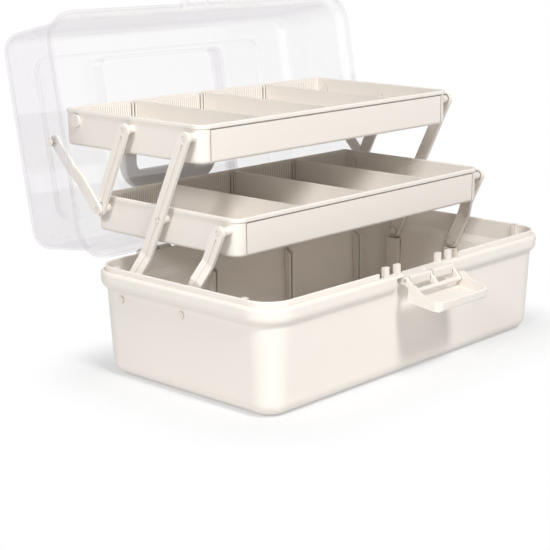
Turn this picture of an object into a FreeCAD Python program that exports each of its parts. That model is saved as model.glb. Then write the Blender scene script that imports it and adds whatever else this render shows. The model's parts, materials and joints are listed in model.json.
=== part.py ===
import FreeCAD, Part
import os
from math import asin, atan2, cos, degrees, hypot, radians, sin, sqrt, tan

from FreeCAD import Vector

# Clear-lidded vanity case: a tub, a hinged lid with a folding handle, and two trays that
# rise and step forward on parallel arms when the lid opens.
# Millimetres. X runs along the length, -Y is the front, +Z is up, and the origin is the
# centre of the underside. Everything is made in the open position.

# ---- shared ----
LAP = 1.0
NEAR = 0.01
TOE_STOP = 2.0
RUNNING_CLEARANCE = 0.06
SIDE_GAP = 0.2

# ---- tub ----
TUB_LENGTH = 330.0
TUB_DEPTH = 186.0
TUB_CORNER = 24.0
TUB_WALL = 2.2
TUB_DRAFT = 3.0
TUB_BOTTOM_ROUND = 9.5
FOOT_HEIGHT = 1.2
FOOT_INSET_X = 28.0
FOOT_INSET_Y = 21.0
FOOT_CORNER = 12.0
RIM_Z = 80.0
RIM_ROUND = 2.4
BAND_PROUD = 4.5
BAND_FULL_BELOW_RIM = 6.5
BAND_START_BELOW_RIM = 15.5
BAND_EASE_LOW = 3.5
BAND_EASE_HIGH = 5.5
LIP_INSET = 3.4
LIP_THICK = 1.8
LIP_HEIGHT = 4.0
LEDGE_HIGH_BELOW_RIM = 11.5
LEDGE_LOW_BELOW_RIM = 17.5
NOTCH_HALF = 48.0
NOTCH_DEPTH = 0.2
LUG_CENTRES = (24.5, 37.5)
LUG_WIDTH = 5.5
LUG_THICK = 2.8
LUG_ABOVE_RIM = 6.6
LUG_ROOT = 6.0
GUIDE_CENTRES = (44.0, 132.0)
GUIDE_WIDTH = 2.0
GUIDE_DEPTH = 3.5
GUIDE_BELOW_LEDGE = 0.5
PILLAR_WIDTH = 12.0
PILLAR_DEPTH = 5.6
PILLAR_BELOW_ARM = 0.8
PEG_WIDTH = 4.0
PEG_DEPTH = 2.2
PEG_ABOVE_RIM = 4.5
PEG_ROOT = 6.5
FRONT_PEG_FROM_EDGE = 28.5
REAR_PEG_FROM_EDGE = 27.0

# ---- lid, in the closed position ----
LID_SEAT_GAP = 0.2
LID_SIDE_SETBACK = 0.1
LID_DEPTH_SETBACK = 0.9
LID_WALL = 1.8
LID_FLANGE_HEIGHT = 4.3
LID_FLARE_HEIGHT = 6.5
LID_FLARE_EASE = 3.0
LID_FLARE_EASE_INSIDE = 2.6
LID_WALL_INSET = 5.4
LID_DRAFT = 2.4
LID_HEIGHT = 76.0
LID_TOP_ROUND = 10.0
PLATEAU_RISE = 3.8
PLATEAU_FROM_END = 40.0
PLATEAU_FROM_SIDE = 27.5
PLATEAU_CORNER = 12.0
PLATEAU_EDGE_ROUND = 1.6
RECESS_SIDE_ROOM = 13.0
RECESS_END_ROOM = 6.0
RECESS_CORNER = 7.0
RECESS_DEPTH = 12.5
LID_OPEN_ANGLE = 100.0

# ---- lid hinge ----
HINGE_BEHIND_TUB = 2.0
HINGE_ABOVE_RIM = 1.0
KNUCKLE_RADIUS = 4.0
HINGE_PIN_RADIUS = 1.6
HINGE_FROM_END = 53.0
TUB_LONG_KNUCKLE = 12.0
TUB_SHORT_KNUCKLE = 4.0
LID_KNUCKLE = 13.2
KNUCKLE_GAP = 0.4

# ---- trays ----
TRAY_SIDE_ROOM = 16.2
TRAY_DEPTH_ROOM = 38.5
TRAY_HEIGHT = 27.6
TRAY_CORNER = 9.0
TRAY_WALL = 1.8
TRAY_RIM_PROUD = 0.8
TRAY_RIM_HEIGHT = 3.2
TRAY_RIM_ROUND = 1.0
TRAY_RIM_BEVEL = 0.6
TRAY_BOTTOM_ROUND = 2.4
TRAY_TOE = 0.4
TRAY_CORNER_CORE = 0.2
PANEL_FROM_END = 9.5
PANEL_GROOVE = 0.9
PANEL_GROOVE_DEPTH = 0.7
DIVIDER_SPACING = 74.0
DIVIDER_THICK = 1.5
DIVIDER_DROP = 1.0
DIVIDER_CLEARANCE = 0.2
DIVIDER_ROUND = 1.2
SLOT_RIB_WIDTH = 1.6
SLOT_RIB_DEPTH = 2.6

# ---- arms and their pivots ----
PIVOT_FROM_FRONT = 8.4
PIVOT_FROM_REAR = 12.7
PIVOT_ABOVE_TRAY = 18.8
TUB_PIVOT_FROM_FRONT = 90.3
TUB_PIVOT_BELOW_RIM = 18.7
ARM_THROW = 68.0
ARM_OPEN_ANGLE = 64.2
ARM_THICK = 2.4
ARM_HALF_WIDTH = 5.2
ARM_FOOT_HALF_WIDTH = 5.6
ARM_END = 4.7
ARM_TIP_ROUND = 0.9
SHORT_ARM_JOG = (28.0, 43.0)
SHORT_ARM_OUT = 1.8
LONG_ARM_JOG = (14.0, 38.0)
TRAY_BOSS = 7.0
TRAY_BOSS_RADIUS = 3.2
SPARE_BOSS = 2.0
SPARE_BOSS_RADIUS = 5.0
TUB_BOSS_RADIUS = 5.6
TUB_ARM_GAP = 0.7
GROOVE_DEPTH = 0.9
GROOVE_AHEAD = 1.1
GROOVE_HALF_TOP = 1.1
GROOVE_HALF_FOOT = 2.6
LINK_THICK = 2.4
LINK_HALF_WIDTH = 4.5
LINK_JOG = (28.0, 37.0)
LINK_WALL_GAP = 1.6
LID_RIVET_Y = 1.2
LID_RIVET_ABOVE_SEAT = 26.78

# ---- rivets and pins ----
RIVET_RADIUS = 2.0
RIVET_HEAD_RADIUS = 3.4
RIVET_HEAD = 1.2
RIVET_CAP_RADIUS = 2.8
RIVET_CAP_SEAT = 0.25
PIN_RECESS = 0.3

# ---- clasp ----
CLASP_PIVOT_AHEAD = 4.0
CLASP_PIVOT_BELOW_RIM = 3.5
CLASP_LINK_LENGTH = 10.5
CLASP_LINK_ANGLE = 224.2
CLASP_PIN_RADIUS = 1.2
CLASP_ROD_RADIUS = 1.9
CLASP_STUB_RADIUS = 1.3
CLASP_ARM_RADIUS = 2.5
BLOCK_SLOT_HALF = 2.2
BLOCK_AHEAD = 7.0
BLOCK_HEIGHT = 8.0
BLOCK_ROUND = 1.5
LINK_ARM_WIDTH = 2.8
LINK_ARM_GAP = 0.6
LINK_LEVER_GAP = 0.5
POCKET_SIDE_ROOM = 1.7
POCKET_SURROUND = 2.0
POCKET_LOW_BELOW_RIM = 19.0
POCKET_HIGH_BELOW_RIM = 2.0
POCKET_DEPTH = 4.6
POCKET_BACK_THICK = 2.8
LEVER_HALF = 30.5
LEVER_REACH = 26.5
LEVER_HEEL = 2.5
LEVER_HEEL_ROUND = 1.5
LEVER_WALL = 1.8
LEVER_DEPTH = 7.6
LEVER_EAR = 5.8
LEVER_EAR_FRONT = (-5.0, 2.2)
LEVER_EAR_TOP = -0.9
LEVER_EAR_BACK_DROP = 2.4
LEVER_SIDE_CURVE = ((-16.0, 0.3), (-9.0, 1.2))
LEVER_TIP_WALL = 2.6
LEVER_TIP_DROP = 0.1
LEVER_TIP_ROUND = 2.0
LEVER_LIP_ROUND = 0.9
LEVER_CORNER = 6.0
LEVER_DROOP = 7.0
CATCH_SIDE_GAP = 2.7
CATCH_REACH = 7.9
CATCH_THICK = 3.0
CATCH_ABOVE_SEAT = 9.4
CATCH_RIB_WIDTH = 2.0
CATCH_RIB_SETBACK = 3.0
CATCH_RIB_FROM_END = 3.0
CATCH_RIB_ABOVE_SEAT = 1.5

# ---- handle ----
HANDLE_HALF_WIDTH = 53.0
HANDLE_LEG = 13.5
HANDLE_REACH = 52.0
HANDLE_GRIP = 16.5
HANDLE_THICK = 8.4
HANDLE_OUTER_ROUND = 23.0
HANDLE_INNER_ROUND = 7.0
HANDLE_EDGE_ROUND = 2.2
HANDLE_FLOOR_GAP = 0.3
HANDLE_REST_ANGLE = 10.0
HANDLE_PIN_RADIUS = 2.0
EAR_THICK = 3.2
EAR_GAP = 0.4
EAR_RADIUS = 4.5

# ---- worked out: tub ----
HALF_LENGTH = TUB_LENGTH / 2
HALF_DEPTH = TUB_DEPTH / 2
BAND_FULL_Z = RIM_Z - BAND_FULL_BELOW_RIM
BAND_START_Z = RIM_Z - BAND_START_BELOW_RIM
LEDGE_HIGH_Z = RIM_Z - LEDGE_HIGH_BELOW_RIM
LEDGE_LOW_Z = RIM_Z - LEDGE_LOW_BELOW_RIM
GUIDE_TOP_Z = LEDGE_LOW_Z - GUIDE_BELOW_LEDGE
LIP_TOP_Z = RIM_Z + LIP_HEIGHT
LIP_INNER = LIP_INSET + LIP_THICK

# ---- worked out: lid ----
LID_HALF_X = HALF_LENGTH - LID_SIDE_SETBACK
LID_HALF_Y = HALF_DEPTH - LID_DEPTH_SETBACK
LID_UNDERSIDE_Z = RIM_Z + LID_SEAT_GAP
LID_SHOULDER_Z = LID_UNDERSIDE_Z + LID_HEIGHT
FLARE_START_Z = LID_UNDERSIDE_Z + LID_FLANGE_HEIGHT
FLARE_END_Z = FLARE_START_Z + LID_FLARE_HEIGHT
PLATEAU_Z = LID_SHOULDER_Z + PLATEAU_RISE
PLATEAU_HALF_X = LID_HALF_X - PLATEAU_FROM_END
PLATEAU_HALF_Y = LID_HALF_Y - PLATEAU_FROM_SIDE
RECESS_FLOOR_Z = PLATEAU_Z - RECESS_DEPTH
RECESS_HALF_X = HANDLE_HALF_WIDTH + RECESS_SIDE_ROOM
RECESS_HALF_Y = HANDLE_REACH + RECESS_END_ROOM
LID_RIVET_Z = LID_UNDERSIDE_Z + LID_RIVET_ABOVE_SEAT
HANDLE_PIVOT_Z = RECESS_FLOOR_Z + HANDLE_FLOOR_GAP + HANDLE_THICK / 2
HINGE_Y = HALF_DEPTH + HINGE_BEHIND_TUB
HINGE_Z = RIM_Z + HINGE_ABOVE_RIM
HINGE_OUTER_X = HALF_LENGTH - HINGE_FROM_END
LID_KNUCKLE_OUTER_X = HINGE_OUTER_X - TUB_SHORT_KNUCKLE - KNUCKLE_GAP
LID_KNUCKLE_INNER_X = LID_KNUCKLE_OUTER_X - LID_KNUCKLE
HINGE_INNER_X = LID_KNUCKLE_INNER_X - KNUCKLE_GAP - TUB_LONG_KNUCKLE

# ---- worked out: clasp ----
CLASP_PIVOT_Y = -HALF_DEPTH - CLASP_PIVOT_AHEAD
CLASP_PIVOT_Z = RIM_Z - CLASP_PIVOT_BELOW_RIM
LEVER_INNER_HALF = LEVER_HALF - LEVER_WALL
LINK_OUTER_HALF = LEVER_INNER_HALF - LINK_LEVER_GAP
BLOCK_HALF = LINK_OUTER_HALF - LINK_ARM_WIDTH - LINK_ARM_GAP
BLOCK_FRONT_Y = -HALF_DEPTH - BLOCK_AHEAD
POCKET_HALF = LEVER_HALF + POCKET_SIDE_ROOM
POCKET_BACK_Y = -HALF_DEPTH + POCKET_DEPTH
POCKET_LOW_Z = RIM_Z - POCKET_LOW_BELOW_RIM
POCKET_HIGH_Z = RIM_Z - POCKET_HIGH_BELOW_RIM
CATCH_HALF = LEVER_INNER_HALF - CATCH_SIDE_GAP
CATCH_TOP_Z = LID_UNDERSIDE_Z + CATCH_ABOVE_SEAT


def wall_inset(z):
    """Inset of the tub's outer wall from the rim at height z, below the band."""
    return BAND_PROUD + (BAND_START_Z - z) * tan(radians(TUB_DRAFT))


def lid_inset(z):
    """Inset of the lid's outer wall from its flange at height z, above the flare."""
    return LID_WALL_INSET + (z - FLARE_END_Z) * tan(radians(LID_DRAFT))


# ---- worked out: trays, arms and the layers they move in ----
TUB_PIVOT_Y = -HALF_DEPTH + TUB_PIVOT_FROM_FRONT
TUB_PIVOT_Z = RIM_Z - TUB_PIVOT_BELOW_RIM
TUB_INNER_X = HALF_LENGTH - wall_inset(TUB_PIVOT_Z) - TUB_WALL
TRAY_LENGTH = 2 * (TUB_INNER_X - TRAY_SIDE_ROOM)
TRAY_DEPTH = TUB_DEPTH - TRAY_DEPTH_ROOM
TRAY_END_X = TRAY_LENGTH / 2 - TRAY_RIM_PROUD
TRAY_TOE_INSET = TRAY_RIM_PROUD + TRAY_BOTTOM_ROUND + TRAY_TOE
TRAY_REAR_CORNER = TRAY_TOE_INSET + TRAY_CORNER_CORE
PANEL_HALF = TRAY_LENGTH / 2 - PANEL_FROM_END
PIVOT_SPACING = (TRAY_DEPTH - PIVOT_FROM_FRONT - PIVOT_FROM_REAR) / 2
ARM_STEP_Y = -ARM_THROW * cos(radians(ARM_OPEN_ANGLE))
ARM_STEP_Z = ARM_THROW * sin(radians(ARM_OPEN_ANGLE))
LOWER_FRONT_Y = TUB_PIVOT_Y + ARM_STEP_Y - PIVOT_FROM_FRONT
LOWER_Z = TUB_PIVOT_Z + ARM_STEP_Z - PIVOT_ABOVE_TRAY
UPPER_FRONT_Y = TUB_PIVOT_Y + PIVOT_SPACING + 2 * ARM_STEP_Y - PIVOT_FROM_FRONT
UPPER_Z = TUB_PIVOT_Z + 2 * ARM_STEP_Z - PIVOT_ABOVE_TRAY
FOOT_LAYER_X = TUB_INNER_X - TUB_ARM_GAP - ARM_THICK / 2
BOSS_FACE_X = TRAY_END_X + TRAY_BOSS
ARM_LAYER_X = BOSS_FACE_X + SIDE_GAP + ARM_THICK / 2
ARM_PIN_X = ARM_LAYER_X + ARM_THICK / 2 - PIN_RECESS
SHORT_ARM_LAYER_X = ARM_LAYER_X + SHORT_ARM_OUT
SHORT_ARM_PIN_X = ARM_PIN_X + SHORT_ARM_OUT
SPARE_FACE_X = TRAY_END_X + SPARE_BOSS
LINK_LAYER_X = ARM_LAYER_X + ARM_THICK / 2 + SIDE_GAP + LINK_THICK / 2
LINK_PIN_X = LINK_LAYER_X + LINK_THICK / 2 - PIN_RECESS
LID_INNER_X = LID_HALF_X - lid_inset(LID_RIVET_Z) - LID_WALL
LINK_TOP_LAYER_X = LID_INNER_X - LINK_WALL_GAP - LINK_THICK / 2
PEG_PLACES = (-HALF_DEPTH + FRONT_PEG_FROM_EDGE, HALF_DEPTH - REAR_PEG_FROM_EDGE)


# ---- shape helpers ----
def box(x0, x1, y0, y1, z0, z1):
    return Part.makeBox(x1 - x0, y1 - y0, z1 - z0, Vector(x0, y0, z0))


def rod(x0, x1, y, z, radius):
    """A cylinder along X."""
    return Part.makeCylinder(radius, x1 - x0, Vector(x0, y, z), Vector(1, 0, 0))


def fuse(shapes):
    joined = shapes[0].multiFuse(shapes[1:])
    return joined.removeSplitter()


def mirrored(shape):
    """The same shape on the other end of the case."""
    return shape.mirror(Vector(0, 0, 0), Vector(1, 0, 0))


def both_ends(shape):
    return [shape, mirrored(shape)]


def turned(shape, y, z, angle):
    """Turn a shape about an axis along X, by the right-hand rule."""
    copy = shape.copy()
    copy.rotate(Vector(0, y, z), Vector(1, 0, 0), angle)
    return copy


def along_x(shape):
    """The straight edges that run along X."""
    return [edge for edge in shape.Edges if edge.BoundBox.YLength < NEAR and edge.BoundBox.ZLength < NEAR]


def outline(start, moves, place):
    """A face bounded by lines, arcs (through a point) and curves (with two control points)."""
    edges = []
    at = place(*start)
    for move in list(moves) + [start]:
        points = [place(*point) for point in (move if isinstance(move, list) else [move])]
        if points[-1].isEqual(at, NEAR):
            continue
        if len(points) == 1:
            edges.append(Part.makeLine(at, points[0]))
        elif len(points) == 2:
            edges.append(Part.Arc(at, points[0], points[1]).toShape())
        else:
            curve = Part.BezierCurve()
            curve.setPoles([at] + points)
            edges.append(curve.toShape())
        at = points[-1]
    return Part.Face(Part.Wire(edges))


def wall_section(start, moves):
    """A wall's section: each point is its inset from the plan and its height."""
    return outline(start, moves, lambda inset, z: Vector(-inset, 0, z))


def side_section(start, moves, x=0.0):
    """A face across X: each point is its y and z."""
    return outline(start, moves, lambda y, z: Vector(x, y, z))


def wall_ring(face, half_x, half_y, corner, rear_corner):
    """Carry a wall's section round a plan with rounded corners."""
    front_y = corner - half_y
    rear_y = half_y - rear_corner
    front_x = half_x - corner
    rear_x = half_x - rear_corner
    rear_bend = face.translated(Vector(half_x, rear_y, 0))
    rear_bend = rear_bend.revolve(Vector(rear_x, rear_y, 0), Vector(0, 0, 1), 90)
    front_bend = face.translated(Vector(half_x, front_y, 0))
    front_bend = front_bend.revolve(Vector(front_x, front_y, 0), Vector(0, 0, 1), -90)
    end = face.translated(Vector(half_x, front_y, 0)).extrude(Vector(0, rear_y - front_y, 0))
    side = face.copy()
    side.rotate(Vector(0, 0, 0), Vector(0, 0, 1), 90)
    rear_side = side.translated(Vector(-rear_x, half_y, 0)).extrude(Vector(2 * rear_x, 0, 0))
    front_side = side.translated(Vector(-front_x, half_y, 0)).extrude(Vector(2 * front_x, 0, 0))
    front_side = front_side.mirror(Vector(0, 0, 0), Vector(0, 1, 0))
    right = [end, rear_bend, front_bend]
    return fuse(right + [mirrored(one) for one in right] + [rear_side, front_side])


def plate_between(half_x, half_y, corner, z0, z1):
    """The flat plate that fills the middle of a wall ring and laps over its toe."""
    rounded = TOE_STOP + LAP
    inset = corner - rounded
    return slab(half_x - inset, half_y - inset, rounded, rounded, z0, z1)


def slab(half_x, half_y, corner, rear_corner, z0, z1):
    """A flat plate with rounded corners, centred on the case."""
    front_x = half_x - corner
    front_y = half_y - corner
    rear_x = half_x - rear_corner
    rear_y = half_y - rear_corner
    bow = corner * (1 - sqrt(0.5))
    rear_bow = rear_corner * (1 - sqrt(0.5))
    moves = [
        (front_x, -half_y), [(half_x - bow, -half_y + bow), (half_x, -front_y)],
        (half_x, rear_y), [(half_x - rear_bow, half_y - rear_bow), (rear_x, half_y)],
        (-rear_x, half_y), [(-half_x + rear_bow, half_y - rear_bow), (-half_x, rear_y)],
        (-half_x, -front_y), [(-half_x + bow, -half_y + bow), (-front_x, -half_y)],
    ]
    face = outline((-front_x, -half_y), moves, lambda px, py: Vector(px, py, z0))
    return face.extrude(Vector(0, 0, z1 - z0))


def arc_between(centre, radius, from_angle, to_angle):
    """An arc's middle point and end point about a centre, for an outline."""
    middle = radians((from_angle + to_angle) / 2)
    end = radians(to_angle)
    return [(centre[0] + radius * cos(middle), centre[1] + radius * sin(middle)),
            (centre[0] + radius * cos(end), centre[1] + radius * sin(end))]


# ---- tub ----
def tub_wall():
    """The tub's wall with its bottom round, flared band, ledge and locating lip."""
    inner_round = TUB_BOTTOM_ROUND - TUB_WALL
    bend_z = FOOT_HEIGHT + TUB_BOTTOM_ROUND
    bend = (wall_inset(bend_z) + TUB_BOTTOM_ROUND / cos(radians(TUB_DRAFT)), bend_z)
    inner_bend_y = bend[0] - inner_round * cos(radians(TUB_DRAFT))
    inner_bend_z = bend_z - inner_round * sin(radians(TUB_DRAFT))
    toe = TUB_CORNER - TOE_STOP
    lip_round = LIP_THICK / 2
    start = (toe, FOOT_HEIGHT)
    moves = [
        (bend[0], FOOT_HEIGHT),
        arc_between(bend, TUB_BOTTOM_ROUND, 270, 180 + TUB_DRAFT),
        (BAND_PROUD, BAND_START_Z),
        [(BAND_PROUD, BAND_START_Z + BAND_EASE_LOW), (0, BAND_FULL_Z - BAND_EASE_HIGH), (0, BAND_FULL_Z)],
        (0, RIM_Z - RIM_ROUND),
        arc_between((RIM_ROUND, RIM_Z - RIM_ROUND), RIM_ROUND, 180, 90),
        (LIP_INSET, RIM_Z),
        (LIP_INSET, LIP_TOP_Z - lip_round),
        arc_between((LIP_INSET + lip_round, LIP_TOP_Z - lip_round), lip_round, 180, 0),
        (LIP_INNER, LEDGE_HIGH_Z),
        (wall_inset(LEDGE_LOW_Z) + TUB_WALL, LEDGE_LOW_Z),
        (inner_bend_y, inner_bend_z),
        arc_between(bend, inner_round, 180 + TUB_DRAFT, 270),
        (toe, FOOT_HEIGHT + TUB_WALL),
    ]
    return wall_ring(wall_section(start, moves), HALF_LENGTH, HALF_DEPTH, TUB_CORNER, TUB_CORNER)


def tub_floor():
    """The floor between the wall's bottom rounds, and the raised foot under it."""
    floor = plate_between(HALF_LENGTH, HALF_DEPTH, TUB_CORNER, FOOT_HEIGHT, FOOT_HEIGHT + TUB_WALL)
    foot_x = HALF_LENGTH - FOOT_INSET_X
    foot_y = HALF_DEPTH - FOOT_INSET_Y
    foot = slab(foot_x, foot_y, FOOT_CORNER, FOOT_CORNER, 0, FOOT_HEIGHT)
    return [floor, foot]


def tub_guides():
    """Upright guide ribs on the rear and front walls, under the ledge."""
    low_face = HALF_DEPTH - wall_inset(0) - TUB_WALL
    high_face = HALF_DEPTH - wall_inset(GUIDE_TOP_Z) - TUB_WALL
    points = [
        (low_face - GUIDE_DEPTH, GUIDE_TOP_Z - GUIDE_DEPTH),
        (high_face, GUIDE_TOP_Z),
        (high_face + TUB_WALL / 2, GUIDE_TOP_Z),
        (low_face + TUB_WALL / 2, TUB_BOTTOM_ROUND),
        (low_face - TUB_BOTTOM_ROUND, FOOT_HEIGHT + TUB_WALL / 2),
    ]
    ribs = []
    for centre in GUIDE_CENTRES:
        face = side_section((low_face - GUIDE_DEPTH, TUB_BOTTOM_ROUND), points, centre - GUIDE_WIDTH / 2)
        rib = face.extrude(Vector(GUIDE_WIDTH, 0, 0))
        for one in both_ends(rib):
            ribs += [one, one.mirror(Vector(0, 0, 0), Vector(0, 1, 0))]
    return ribs


def tub_pillars():
    """Posts on the end walls below the arm pivots, and the bosses that the arms turn against."""
    shapes = []
    top = TUB_PIVOT_Z - ARM_FOOT_HALF_WIDTH - PILLAR_BELOW_ARM
    inner_x = TUB_INNER_X - PILLAR_DEPTH
    boss_x = FOOT_LAYER_X + ARM_THICK / 2 + SIDE_GAP
    wall_x = HALF_LENGTH - wall_inset(FOOT_HEIGHT + TUB_BOTTOM_ROUND) - TUB_WALL / 2
    for y in (TUB_PIVOT_Y, TUB_PIVOT_Y + PIVOT_SPACING):
        post = box(inner_x, wall_x, y - PILLAR_WIDTH / 2, y + PILLAR_WIDTH / 2, TUB_BOTTOM_ROUND, top)
        boss = rod(boss_x, TUB_INNER_X + TUB_WALL / 2, y, TUB_PIVOT_Z, TUB_BOSS_RADIUS)
        shapes += both_ends(post) + both_ends(boss)
    return shapes


def tub_pegs():
    """Small pegs on the end walls that steady the trays' ends."""
    shapes = []
    outer = HALF_LENGTH - LIP_INSET - LIP_THICK / 2
    inner = HALF_LENGTH - LIP_INNER - PEG_DEPTH
    for y in PEG_PLACES:
        high = RIM_Z + PEG_ABOVE_RIM
        peg = box(inner, outer, y - PEG_WIDTH / 2, y + PEG_WIDTH / 2, RIM_Z - PEG_ROOT, high)
        shapes += both_ends(peg)
    return shapes


def tub_lugs():
    """Four lugs inside the front notch that centre the lid's flange."""
    shapes = []
    rear = -(HALF_DEPTH - LIP_INNER - LUG_THICK)
    for centre in LUG_CENTRES:
        left = centre - LUG_WIDTH / 2
        lug = box(left, left + LUG_WIDTH, rear - LUG_THICK, rear, RIM_Z - LUG_ROOT, RIM_Z + LUG_ABOVE_RIM)
        shapes += both_ends(lug)
    return shapes


def hinge_barrel(x0, x1):
    return rod(x0, x1, HINGE_Y, HINGE_Z, KNUCKLE_RADIUS)


def tub_knuckles():
    """The tub's share of each hinge, with the web that carries it on the band."""
    shapes = []
    root_y = HALF_DEPTH - LAP
    long_end = HINGE_INNER_X + TUB_LONG_KNUCKLE
    short_start = HINGE_OUTER_X - TUB_SHORT_KNUCKLE
    for x0, x1 in ((HINGE_INNER_X, long_end), (short_start, HINGE_OUTER_X)):
        corners = [(HINGE_Y + KNUCKLE_RADIUS, HINGE_Z), (root_y, HINGE_Z)]
        web = side_section((root_y, BAND_FULL_Z), corners, x0).extrude(Vector(x1 - x0, 0, 0))
        shapes += both_ends(hinge_barrel(x0, x1)) + both_ends(web)
    return shapes


def clasp_block():
    """The block on the front that the clasp's link hangs from, and the wall behind the pocket."""
    half = POCKET_HALF + POCKET_SURROUND
    top = RIM_Z - NOTCH_DEPTH
    back = box(-half, half, POCKET_BACK_Y, POCKET_BACK_Y + POCKET_BACK_THICK, POCKET_LOW_Z - LAP, top)
    block = box(BLOCK_SLOT_HALF, BLOCK_HALF, BLOCK_FRONT_Y, POCKET_BACK_Y + LAP, RIM_Z - BLOCK_HEIGHT, top)
    front = [edge for edge in along_x(block) if abs(edge.CenterOfMass.y - BLOCK_FRONT_Y) < NEAR]
    block = block.makeFillet(BLOCK_ROUND, front)
    return [back] + both_ends(block)


def make_tub():
    tub = fuse([tub_wall()] + tub_floor())
    front = -HALF_DEPTH - LAP
    lip_back = -HALF_DEPTH + LIP_INNER + LAP
    notch = box(-NOTCH_HALF, NOTCH_HALF, front, lip_back, RIM_Z - NOTCH_DEPTH, LIP_TOP_Z + LAP)
    pocket = box(-POCKET_HALF, POCKET_HALF, front, POCKET_BACK_Y, POCKET_LOW_Z, POCKET_HIGH_Z)
    tub = tub.cut([notch, pocket])
    additions = tub_guides() + tub_pillars() + tub_pegs() + tub_lugs() + tub_knuckles() + clasp_block()
    tub = fuse([tub] + additions)
    room_x0 = LID_KNUCKLE_INNER_X - KNUCKLE_GAP
    room_x1 = LID_KNUCKLE_OUTER_X + KNUCKLE_GAP
    cuts = both_ends(rod(room_x0, room_x1, HINGE_Y, HINGE_Z, KNUCKLE_RADIUS + KNUCKLE_GAP))
    cuts += both_ends(rod(HINGE_INNER_X, HINGE_OUTER_X, HINGE_Y, HINGE_Z, HINGE_PIN_RADIUS))
    cuts.append(rod(-BLOCK_HALF, BLOCK_HALF, CLASP_PIVOT_Y, CLASP_PIVOT_Z, CLASP_PIN_RADIUS))
    for y in (TUB_PIVOT_Y, TUB_PIVOT_Y + PIVOT_SPACING):
        cuts += both_ends(rod(FOOT_LAYER_X, HALF_LENGTH, y, TUB_PIVOT_Z, RIVET_RADIUS))
        cuts += both_ends(rivet_cap(HALF_LENGTH - wall_inset(TUB_PIVOT_Z), y, TUB_PIVOT_Z))
    return tub.cut(cuts)


# ---- lid ----
def opened(shape):
    """Swing a lid shape from its closed place to its open one."""
    return turned(shape, HINGE_Y, HINGE_Z, -LID_OPEN_ANGLE)


def lid_wall():
    """The lid's flange, flare, wall and top round."""
    bend_z = LID_SHOULDER_Z - LID_TOP_ROUND
    bend = (lid_inset(bend_z) + LID_TOP_ROUND, bend_z)
    inner_round = LID_TOP_ROUND - LID_WALL
    inner_inset = LID_WALL_INSET + LID_WALL
    toe = TUB_CORNER - TOE_STOP
    outer_flare = [(0, FLARE_START_Z + LID_FLARE_EASE), (LID_WALL_INSET, FLARE_END_Z - LID_FLARE_EASE),
                   (LID_WALL_INSET, FLARE_END_Z)]
    inner_flare = [(inner_inset, FLARE_END_Z - LID_FLARE_EASE_INSIDE),
                   (LID_WALL, FLARE_START_Z + LID_FLARE_EASE_INSIDE), (LID_WALL, FLARE_START_Z)]
    moves = [
        (0, FLARE_START_Z),
        outer_flare,
        (lid_inset(bend_z), bend_z),
        arc_between(bend, LID_TOP_ROUND, 180, 90),
        (toe, LID_SHOULDER_Z),
        (toe, LID_SHOULDER_Z - LID_WALL),
        (bend[0], LID_SHOULDER_Z - LID_WALL),
        arc_between(bend, inner_round, 90, 180),
        (inner_inset, FLARE_END_Z),
        inner_flare,
        (LID_WALL, LID_UNDERSIDE_Z),
    ]
    section = wall_section((0, LID_UNDERSIDE_Z), moves)
    return wall_ring(section, LID_HALF_X, LID_HALF_Y, TUB_CORNER, TUB_CORNER)


def lid_top():
    """The lid's top plate with its raised plateau and the sunk recess for the handle."""
    plate = plate_between(LID_HALF_X, LID_HALF_Y, TUB_CORNER, LID_SHOULDER_Z - LID_WALL, LID_SHOULDER_Z)
    seat = LID_SHOULDER_Z - LID_WALL
    plateau = slab(PLATEAU_HALF_X, PLATEAU_HALF_Y, PLATEAU_CORNER, PLATEAU_CORNER, seat, PLATEAU_Z)
    rim = [edge for edge in plateau.Edges if abs(edge.BoundBox.ZMin - PLATEAU_Z) < NEAR]
    plateau = plateau.makeFillet(PLATEAU_EDGE_ROUND, rim)
    inner_corner = PLATEAU_CORNER - LID_WALL
    under = slab(PLATEAU_HALF_X - LID_WALL, PLATEAU_HALF_Y - LID_WALL, inner_corner, inner_corner,
                 seat - LAP, PLATEAU_Z - LID_WALL)
    cup_corner = RECESS_CORNER + LID_WALL
    cup = slab(RECESS_HALF_X + LID_WALL, RECESS_HALF_Y + LID_WALL, cup_corner, cup_corner,
               RECESS_FLOOR_Z - LID_WALL, PLATEAU_Z - LID_WALL)
    top = PLATEAU_Z + LAP
    recess = slab(RECESS_HALF_X, RECESS_HALF_Y, RECESS_CORNER, RECESS_CORNER, RECESS_FLOOR_Z, top)
    top = fuse([plate, plateau]).cut(under)
    return fuse([top, cup]).cut(recess)


def handle_ears():
    """Two ears each side of the handle's legs, on the recess floor."""
    leg_inner = HANDLE_HALF_WIDTH - HANDLE_LEG
    ears = []
    for x in (leg_inner - EAR_GAP - EAR_THICK, HANDLE_HALF_WIDTH + EAR_GAP):
        foot = box(x, x + EAR_THICK, -EAR_RADIUS, EAR_RADIUS, RECESS_FLOOR_Z - LID_WALL / 2, HANDLE_PIVOT_Z)
        ears += both_ends(foot) + both_ends(rod(x, x + EAR_THICK, 0, HANDLE_PIVOT_Z, EAR_RADIUS))
    return ears


def lid_knuckles():
    """The lid's share of each hinge and the web that joins it to the flange."""
    web = box(LID_KNUCKLE_INNER_X, LID_KNUCKLE_OUTER_X, LID_HALF_Y - LID_WALL, HINGE_Y,
              HINGE_Z, HINGE_Z + KNUCKLE_RADIUS)
    barrel = hinge_barrel(LID_KNUCKLE_INNER_X, LID_KNUCKLE_OUTER_X)
    return both_ends(web) + both_ends(barrel)


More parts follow.
